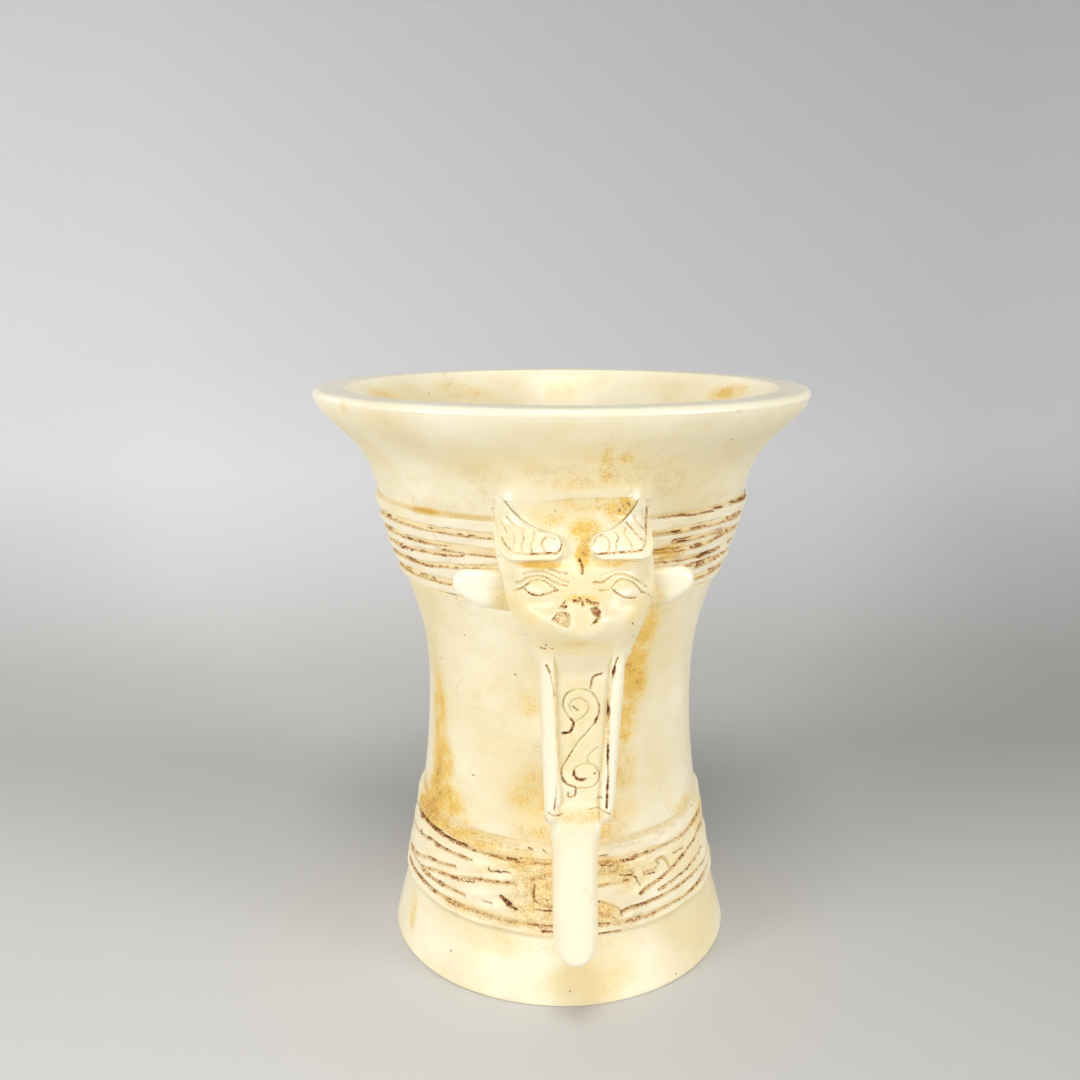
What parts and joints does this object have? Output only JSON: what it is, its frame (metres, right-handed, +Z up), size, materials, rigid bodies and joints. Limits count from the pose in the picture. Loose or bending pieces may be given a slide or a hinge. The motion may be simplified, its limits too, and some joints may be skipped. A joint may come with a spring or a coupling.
{
  "type": "carved stone beaker",
  "caption": "Trumpet-mouthed carved stone beaker of gu form with a narrow waist, spreading foot, corded bands and an ox-head handle with a scrolled strap and hanging tongue.",
  "frame": {"origin": "centre of the foot's underside, on the surface the beaker stands on", "axes": "+Z up along the vessel's axis, -Y towards the front of the ox-head handle, +X to the right of someone facing the handle"},
  "size_m": [0.1096, 0.1096, 0.13],
  "materials": {
    "polished_stone": "gloss",
    "stained_stone": "satin"
  },
  "bodies": {
    "root": {"mouth_section": "polished_stone", "waist_section": "polished_stone", "foot_section": "polished_stone", "upper_band_cords": "stained_stone", "lower_band_cords": "stained_stone", "lower_band_rings": "stained_stone", "ox_head": "polished_stone", "ox_muzzle": "polished_stone", "left_horn": "polished_stone", "right_horn": "polished_stone", "left_ear": "polished_stone", "right_ear": "polished_stone", "left_eye": "polished_stone", "right_eye": "polished_stone", "handle_strap": "polished_stone", "strap_scroll": "stained_stone", "handle_lug": "polished_stone", "handle_pendant": "polished_stone"}
  },
  "joints": []
}
